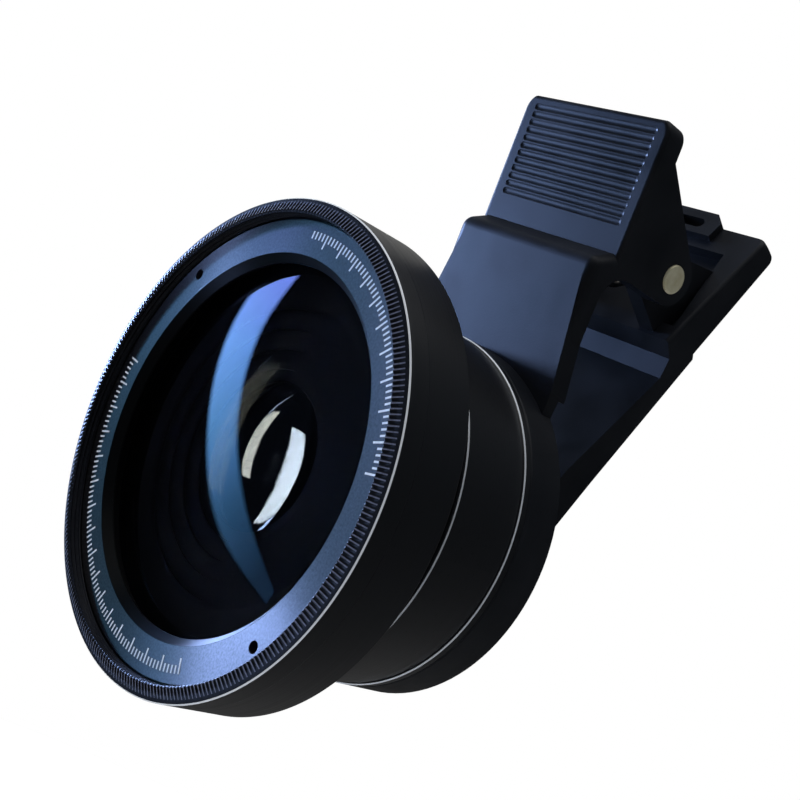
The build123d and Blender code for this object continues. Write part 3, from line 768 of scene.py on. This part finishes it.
def make_ticks():
    """White ticks in two arcs on the name ring's face, every fifth one long."""
    points = []
    faces = []
    corners = ((0, -1), (1, -1), (1, 1), (0, 1))
    rise = (NAME_RING_FRONT - TICK_RISE, NAME_RING_FRONT + TICK_RISE)
    for start, end in TICK_ARCS:
        number = int(round((end - start) / TICK_SPACING))
        for tick in range(number + 1):
            angle = radians(start + tick * TICK_SPACING)
            length = TICK_MINOR_LENGTH if tick % TICKS_PER_MAJOR else TICK_MAJOR_LENGTH
            base = len(points)
            for y in rise:
                for inwards, side in corners:
                    r = TICK_OUTER_RADIUS - inwards * length
                    out = side * TICK_WIDTH / 2
                    x = r * cos(angle) - out * sin(angle)
                    z = r * sin(angle) + out * cos(angle)
                    points.append((x * MM, y * MM, z * MM))
            faces.append((base, base + 1, base + 2, base + 3))
            faces.append((base + 7, base + 6, base + 5, base + 4))
            for corner in range(4):
                after = (corner + 1) % 4
                faces.append((base + corner, base + corner + 4, base + after + 4, base + after))
    return add_object("ring_ticks", points, faces, [tick_paint()])


ticks = make_ticks()
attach(ticks, "wide_lens")


def tube(name, path, radius, sides, material):
    """Round wire along points in metres, with its frame carried from point to point."""
    points = []
    faces = []
    normal = None
    for i, here in enumerate(path):
        ahead = path[min(i + 1, len(path) - 1)] - path[max(i - 1, 0)]
        ahead.normalize()
        if normal is None:
            normal = ahead.orthogonal().normalized()
        normal = (normal - ahead * normal.dot(ahead)).normalized()
        other = ahead.cross(normal)
        for side in range(sides):
            a = 2 * pi * side / sides
            points.append(here + (normal * cos(a) + other * sin(a)) * radius)
    for i in range(len(path) - 1):
        for side in range(sides):
            after = (side + 1) % sides
            a = i * sides
            b = a + sides
            faces.append((a + side, a + after, b + after, b + side))
    faces.append(tuple(reversed(range(sides))))
    faces.append(tuple(range(len(path) * sides - sides, len(path) * sides)))
    return add_object(name, points, faces, [material])


def make_spring():
    """Coil round the pin with a straight leg to each grip, from the CAD spring's own ends."""
    coil_radius = PIN_RADIUS + SPRING_PIN_GAP + SPRING_WIRE / 2
    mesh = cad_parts["torsion_spring"].data
    low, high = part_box("torsion_spring")
    reach = SPRING_WIRE * MM
    legs = []
    for near in (low[0], high[0]):
        beyond = [v.co for v in mesh.vertices if abs(v.co[0] - near) < reach]
        far = max(beyond, key=lambda p: hypot(p[1] - PIN_Y * MM, p[2] - PIN_Z * MM))
        away = hypot(far[1] / MM - PIN_Y, far[2] / MM - PIN_Z)
        tip = away - SPRING_TIP
        ends = [p for p in beyond if hypot(p[1] / MM - PIN_Y, p[2] / MM - PIN_Z) > tip]
        middle = sum(ends, Vector()) / len(ends)
        legs.append((middle[1] / MM - PIN_Y, middle[2] / MM - PIN_Z))
    angles = []
    lengths = []
    for (y, z), side in zip(legs, (1, -1)):
        angles.append(atan2(z, y) + side * acos(coil_radius / hypot(y, z)))
        lengths.append((y * y + z * z - coil_radius**2) ** 0.5)
    turns = SPRING_WHOLE_TURNS + ((angles[1] - angles[0]) / (2 * pi)) % 1.0
    length = turns * SPRING_PITCH
    path = []
    count = int(turns * SPRING_STEPS)
    for step in range(count + 1):
        t = step / count
        a = angles[0] + 2 * pi * turns * t
        x = -length / 2 + length * t
        path.append(Vector((x, PIN_Y + coil_radius * cos(a), PIN_Z + coil_radius * sin(a))) * MM)
    first = Vector((0, -sin(angles[0]), cos(angles[0])))
    last = Vector((0, -sin(angles[1]), cos(angles[1])))
    shares = [step / SPRING_LEG_STEPS for step in range(1, SPRING_LEG_STEPS + 1)]
    front_leg = [path[0] - first * lengths[0] * MM * share for share in reversed(shares)]
    rear_leg = [path[-1] + last * lengths[1] * MM * share for share in shares]
    wire = front_leg + path + rear_leg
    spring = tube("coil_spring", wire, SPRING_WIRE / 2 * MM, SPRING_SIDES, MATERIALS["spring_steel"])
    half = length / 2 * MM
    return spring, (-half, PIN_Y * MM, PIN_Z * MM), (half, PIN_Y * MM, PIN_Z * MM)


spring, spring_start, spring_end = make_spring()
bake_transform(spring)
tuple(spring_start)
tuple(spring_end)
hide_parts("torsion_spring")


def emission(name, colour, strength):
    """Material that only gives light, of one colour."""
    material = bpy.data.materials.new(name)
    material.use_nodes = True
    tree = material.node_tree
    tree.nodes.remove(tree.nodes["Principled BSDF"])
    light = tree.nodes.new("ShaderNodeEmission")
    light.inputs["Color"].default_value = colour
    light.inputs["Strength"].default_value = strength
    tree.links.new(light.outputs[0], tree.nodes["Material Output"].inputs["Surface"])
    return material


def reflected_only(card):
    """A card that only mirror rays see."""
    card.visible_camera = False
    card.visible_diffuse = False
    card.visible_shadow = False
    card.visible_transmission = False


def curve_through(values, t):
    """Smooth curve through a few tuples, at t from 0 to 1."""
    last = len(values) - 1
    place = min(t * last, last - 1e-6)
    i = int(place)
    u = place - i
    p0, p1, p2, p3 = (values[max(0, min(last, i + k))] for k in (-1, 0, 1, 2))
    made = []
    for a, b, c, d in zip(p0, p1, p2, p3):
        square = (2 * a - 5 * b + 4 * c - d) * u**2
        cube = (3 * b - a - 3 * c + d) * u**3
        made.append(0.5 * (2 * b + (c - a) * u + square + cube))
    return made


# The bright window that the front glass mirrors as a crescent: azimuth, elevation and half width
# in degrees, seen from the glass, and the glass points that mirror its head and its foot.
CARD_LINE = (
    (-60.5, 12.5, 2.7),
    (-61.7, 3.0, 3.3),
    (-57.5, -5.5, 2.9),
    (-50.0, -12.5, 2.6),
    (-39.5, -17.8, 1.0),
)
CARD_HEAD_SEEN_FROM = Vector((-4.0, -27.3, 19.0)) * MM
CARD_FOOT_SEEN_FROM = Vector((15.2, -27.5, -10.0)) * MM
CARD_DISTANCE = 0.5
CARD_STEPS = 60
CARD_SOFT = 0.14
CARD_LEVEL = 16.0
CARD_COLOURS = (
    (0.0, (0.28, 0.32, 1.0, 1.0)),
    (0.3, (0.22, 0.49, 0.96, 1.0)),
    (0.5, (0.14, 0.38, 0.64, 1.0)),
    (0.72, (0.055, 0.16, 0.25, 1.0)),
    (0.92, (0.014, 0.038, 0.06, 1.0)),
)
INNER_LINE = (
    (-61.0, 21.0, 1.0),
    (-67.0, 12.0, 10.0),
    (-71.0, 0.0, 14.0),
    (-64.0, -17.0, 10.0),
    (-52.0, -29.0, 1.0),
)
INNER_LEVEL = 13.0
INNER_COLOURS = ((0.0, (1.0, 0.97, 0.76, 1.0)), (1.0, (1.0, 0.98, 0.82, 1.0)))

# Panels beside the glass's own view, mirrored by the satin ring and the clip's plastic:
# azimuths, elevations and level
PANEL_COLOUR = (0.36, 0.52, 1.0, 1.0)
PANELS = (
    ("panel_left", (-80.0, -69.0), (-5.0, 4.0), 220.0),
    ("panel_low", (-33.0, -26.0), (-27.0, -20.0), 120.0),
)


def card_light(name, level, colours):
    """Light of a window: its colours from head to foot, and soft edges."""
    s = Shader(name, (0.0, 0.0, 0.0, 1.0), 1.0)
    s.tree.nodes.remove(s.main)
    split = s.node("SeparateXYZ")
    s.link(s.node("UVMap", uv_map="across").outputs[0], split.inputs[0])
    across, along = split.outputs[0], split.outputs[1]
    near_edge = s.math("MINIMUM", across, s.math("SUBTRACT", 1.0, across))
    share = s.spread(near_edge, 0.0, 1.0, 0.0, CARD_SOFT)
    ramp = s.node("ValToRGB")
    stops = ramp.color_ramp.elements
    while len(stops) < len(colours):
        stops.new(0.5)
    for stop, (place, colour) in zip(stops, colours):
        stop.position = place
        stop.color = colour
    s.link(along, ramp.inputs[0])
    light = s.node("Emission")
    s.link(ramp.outputs[0], light.inputs["Color"])
    s.link(s.math("MULTIPLY", share, level), light.inputs["Strength"])
    s.link(light.outputs[0], s.tree.nodes["Material Output"].inputs["Surface"])
    return s.material


def make_card(name, line, level, colours):
    """Curved strip of window, in front of the lens on its left."""
    points = []
    faces = []
    for step in range(CARD_STEPS + 1):
        t = step / CARD_STEPS
        azimuth, elevation, half = curve_through(line, t)
        before = curve_through(line, max(0.0, t - 0.01))
        after = curve_through(line, min(1.0, t + 0.01))
        run = Vector((after[0] - before[0], after[1] - before[1])).normalized()
        origin = CARD_HEAD_SEEN_FROM.lerp(CARD_FOOT_SEEN_FROM, t)
        for side in (-half, half):
            toward = direction(azimuth - side * run[1], elevation + side * run[0])
            points.append(origin + toward * CARD_DISTANCE)
        if step:
            base = 2 * step
            faces.append((base - 2, base - 1, base + 1, base))
    card = add_object(name, points, faces, [card_light(name, level, colours)])
    marks = card.data.uv_layers.new(name="across")
    for loop in card.data.loops:
        row, side = divmod(loop.vertex_index, 2)
        marks.data[loop.index].uv = (side, row / CARD_STEPS)
    reflected_only(card)
    return card


make_card("window", CARD_LINE, CARD_LEVEL, CARD_COLOURS)
inner_card = make_card("window_through_glass", INNER_LINE, INNER_LEVEL, INNER_COLOURS)
inner_card.visible_glossy = False
inner_card.visible_transmission = True


# Dark studio wall that only mirror rays see. It turns white at its top, and soft lights glow
# on it: azimuth, elevation and half width in degrees, level and colour.
WALL_DISTANCE = 0.9
WALL_LOW = -14.0
GROUND_HEIGHT = -0.19
WALL_HIGH = 62.0
WALL_WHITE_FROM = 50.0
WALL_BACK = 0.5
WALL_COLUMNS = 72
WALL_ROWS = 24
WALL_COLOUR = (0.010, 0.012, 0.016, 1.0)
WALL_GLOWS = (
    (-128.0, 20.0, 17.0, 0.32, (1.0, 0.98, 0.92)),
    (-150.0, 42.0, 20.0, 0.1, (0.9, 0.95, 1.0)),
    (150.0, 40.0, 20.0, 0.05, (0.7, 0.85, 1.0)),
    (-166.0, -48.0, 34.0, 0.12, (1.0, 0.98, 0.95)),
)


def wall_light():
    """Light of the wall: its own dark colour, the glows, and the white rise towards its top."""
    s = Shader("wall_light", WALL_COLOUR, 1.0)
    s.tree.nodes.remove(s.main)
    where = s.place()[0]
    toward = s.node("VectorMath", operation="NORMALIZE")
    s.link(where, toward.inputs[0])
    total = None
    for azimuth, elevation, width, level, colour in WALL_GLOWS:
        near = s.node("VectorMath", operation="DOT_PRODUCT")
        s.link(toward.outputs[0], near.inputs[0])
        near.inputs[1].default_value = direction(azimuth, elevation)
        off = s.math("SUBTRACT", near.outputs["Value"], 1.0)
        share = s.math("EXPONENT", s.math("MULTIPLY", off, log(2) / (1 - cos(radians(width)))))
        glow = s.node("VectorMath", operation="SCALE")
        glow.inputs[0].default_value = [part * level for part in colour]
        s.link(share, glow.inputs["Scale"])
        total = s.add(total, glow.outputs[0])
    split = s.node("SeparateXYZ")
    s.link(toward.outputs[0], split.inputs[0])
    low = sin(radians(WALL_WHITE_FROM))
    high = sin(radians(WALL_HIGH))
    rise = s.spread(split.outputs[2], 0.0, 1.0, low, high)
    white = s.node("VectorMath", operation="SCALE")
    white.inputs[0].default_value = (1.0, 1.0, 1.0)
    s.link(s.math("MULTIPLY", rise, rise), white.inputs["Scale"])
    total = s.add(total, white.outputs[0])
    # Glass shows the white room behind the object.
    through = s.node("LightPath").outputs["Is Transmission Ray"]
    behind = s.spread(split.outputs[1], 0.0, 1.0, 0.0, WALL_BACK)
    background = s.node("VectorMath", operation="SCALE")
    background.inputs[0].default_value = (1.0, 1.0, 1.0)
    s.link(s.math("MULTIPLY", through, behind), background.inputs["Scale"])
    total = s.add(total, background.outputs[0])
    dark = s.node("VectorMath", operation="ADD")
    s.link(total, dark.inputs[0])
    dark.inputs[1].default_value = WALL_COLOUR[:3]
    light = s.node("Emission")
    s.link(dark.outputs[0], light.inputs["Color"])
    s.link(light.outputs[0], s.tree.nodes["Material Output"].inputs["Surface"])
    s.material.cycles.emission_sampling = "NONE"
    return s.material


def make_wall():
    """Round wall and ground of the studio, for the object's shiny surfaces to mirror."""
    across = WALL_COLUMNS
    points = []
    faces = []
    for row in range(WALL_ROWS + 1):
        elevation = WALL_LOW + (WALL_HIGH - WALL_LOW) * row / WALL_ROWS
        for column in range(across):
            points.append(direction(360 * column / across, elevation) * WALL_DISTANCE)
    for row in range(WALL_ROWS):
        for column in range(across):
            a = row * across + column
            b = row * across + (column + 1) % across
            faces.append((a, b, b + across, a + across))
    ground = len(points)
    down = Vector((0, 0, GROUND_HEIGHT))
    for column in range(across):
        points.append(direction(360 * column / across, 0) * WALL_DISTANCE + down)
    faces.append(tuple(range(ground, ground + across)))
    wall = add_object("studio_wall", points, faces, [wall_light()])
    reflected_only(wall)
    wall.visible_transmission = True


make_wall()


def make_panel(name, azimuths, elevations, level):
    """Flat blue light of a window, for the satin and plastic faces to mirror."""
    left, right = azimuths
    low, high = elevations
    corners = ((left, low), (right, low), (right, high), (left, high))
    points = [direction(*corner) * CARD_DISTANCE for corner in corners]
    reflected_only(add_object(name, points, [(0, 1, 2, 3)], [emission(name, PANEL_COLOUR, level)]))


for panel in PANELS:
    make_panel(*panel)


# Lamps: azimuth and elevation in degrees, size in metres, watts and colour
LAMP_DISTANCE = 0.8
LAMPS = (
    ("key", -88.0, 28.0, 0.4, 9.0, (0.72, 0.84, 1.0)),
    ("back", -128.0, 30.0, 0.35, 7.0, (1.0, 0.95, 0.86)),
)
SUN_LEVEL = 2.9
SUN_SPREAD = 40.0
SUN_FROM = direction(-60.0, 75.0)


def add_lamp(name, azimuth, elevation, size, power, colour):
    """Soft square lamp that faces the object. Mirrors don't show it."""
    data = bpy.data.lights.new(name, "AREA")
    data.shape = "SQUARE"
    data.size = size
    data.energy = power
    data.color = colour
    lamp = bpy.data.objects.new(name, data)
    lamp.location = direction(azimuth, elevation) * LAMP_DISTANCE
    lamp.rotation_mode = "QUATERNION"
    lamp.rotation_quaternion = (-lamp.location).to_track_quat("-Z", "Y")
    lamp.visible_glossy = False
    bpy.context.scene.collection.objects.link(lamp)


for lamp_values in LAMPS:
    add_lamp(*lamp_values)


def add_sun():
    """Even light from above, for the floor and the object."""
    data = bpy.data.lights.new("sun", "SUN")
    data.energy = SUN_LEVEL
    data.angle = radians(SUN_SPREAD)
    lamp = bpy.data.objects.new("sun", data)
    lamp.rotation_mode = "QUATERNION"
    lamp.rotation_quaternion = SUN_FROM.to_track_quat("Z", "Y")
    lamp.visible_glossy = False
    bpy.context.scene.collection.objects.link(lamp)


add_sun()


# Floor under the object: a wide disc, far enough below to stay out of the front glass.
FLOOR_HEIGHT = -0.2
FLOOR_RADIUS = 0.4
FLOOR_SIDES = 96
FLOOR_GLOW = 0.8
FLOOR_COLOUR = (0.82, 0.82, 0.83, 1.0)


def make_floor():
    """Pale floor. The camera and mirror rays see it white, but for the object's shadow."""
    points = []
    for side in range(FLOOR_SIDES):
        angle = 2 * pi * side / FLOOR_SIDES
        points.append((FLOOR_RADIUS * cos(angle), FLOOR_RADIUS * sin(angle), FLOOR_HEIGHT))
    s = Shader("pale_floor", FLOOR_COLOUR, 0.9)
    s.rough(s.noise(30), 0.85, 0.95)
    path = s.node("LightPath").outputs
    mirrored = s.math("MAXIMUM", path["Is Glossy Ray"], path["Is Transmission Ray"])
    seen = s.math("MAXIMUM", path["Is Camera Ray"], mirrored)
    glow = s.node("Emission")
    glow.inputs["Strength"].default_value = 1.0
    mix = s.node("MixShader")
    s.link(s.math("MULTIPLY", seen, FLOOR_GLOW), mix.inputs[0])
    s.link(s.main.outputs[0], mix.inputs[1])
    s.link(glow.outputs[0], mix.inputs[2])
    s.link(mix.outputs[0], s.tree.nodes["Material Output"].inputs["Surface"])
    add_object("floor", points, [tuple(range(FLOOR_SIDES))], [s.material])


make_floor()


ROOM_COLOUR = (0.9, 0.95, 1.0, 1.0)
ROOM_LEVEL = 0.35


def make_world():
    """Even pale light, seen as white by the camera, mirrors and glass."""
    world = bpy.data.worlds.new("studio")
    bpy.context.scene.world = world
    world.use_nodes = True
    tree = world.node_tree
    room = tree.nodes["Background"]
    room.inputs["Color"].default_value = ROOM_COLOUR
    room.inputs["Strength"].default_value = ROOM_LEVEL
    white = tree.nodes.new("ShaderNodeBackground")
    white.inputs["Color"].default_value = (1.0, 1.0, 1.0, 1.0)
    white.inputs["Strength"].default_value = 1.0
    path = tree.nodes.new("ShaderNodeLightPath").outputs
    seen = None
    for kind in ("Is Camera Ray", "Is Glossy Ray", "Is Transmission Ray"):
        if seen is None:
            seen = path[kind]
            continue
        larger = tree.nodes.new("ShaderNodeMath")
        larger.operation = "MAXIMUM"
        tree.links.new(seen, larger.inputs[0])
        tree.links.new(path[kind], larger.inputs[1])
        seen = larger.outputs[0]
    mix = tree.nodes.new("ShaderNodeMixShader")
    tree.links.new(seen, mix.inputs[0])
    tree.links.new(room.outputs[0], mix.inputs[1])
    tree.links.new(white.outputs[0], mix.inputs[2])
    tree.links.new(mix.outputs[0], tree.nodes["World Output"].inputs["Surface"])


make_world()


def make_camera():
    """Camera at the photo's place, with its lens."""
    right = Vector(CAMERA_RIGHT).normalized()
    up = -Vector(CAMERA_DOWN).normalized()
    back = right.cross(up)
    data = bpy.data.cameras.new("camera")
    data.lens = CAMERA_LENS
    data.sensor_width = CAMERA_SENSOR
    data.clip_start = 0.005
    data.clip_end = 50.0
    camera = bpy.data.objects.new("camera", data)
    turn = Matrix((right, up, back)).transposed().to_4x4()
    camera.matrix_world = Matrix.Translation(Vector(CAMERA_PLACE) * MM) @ turn
    bpy.context.scene.collection.objects.link(camera)
    bpy.context.scene.camera = camera


make_camera()
bpy.context.scene.view_settings.view_transform = "Standard"
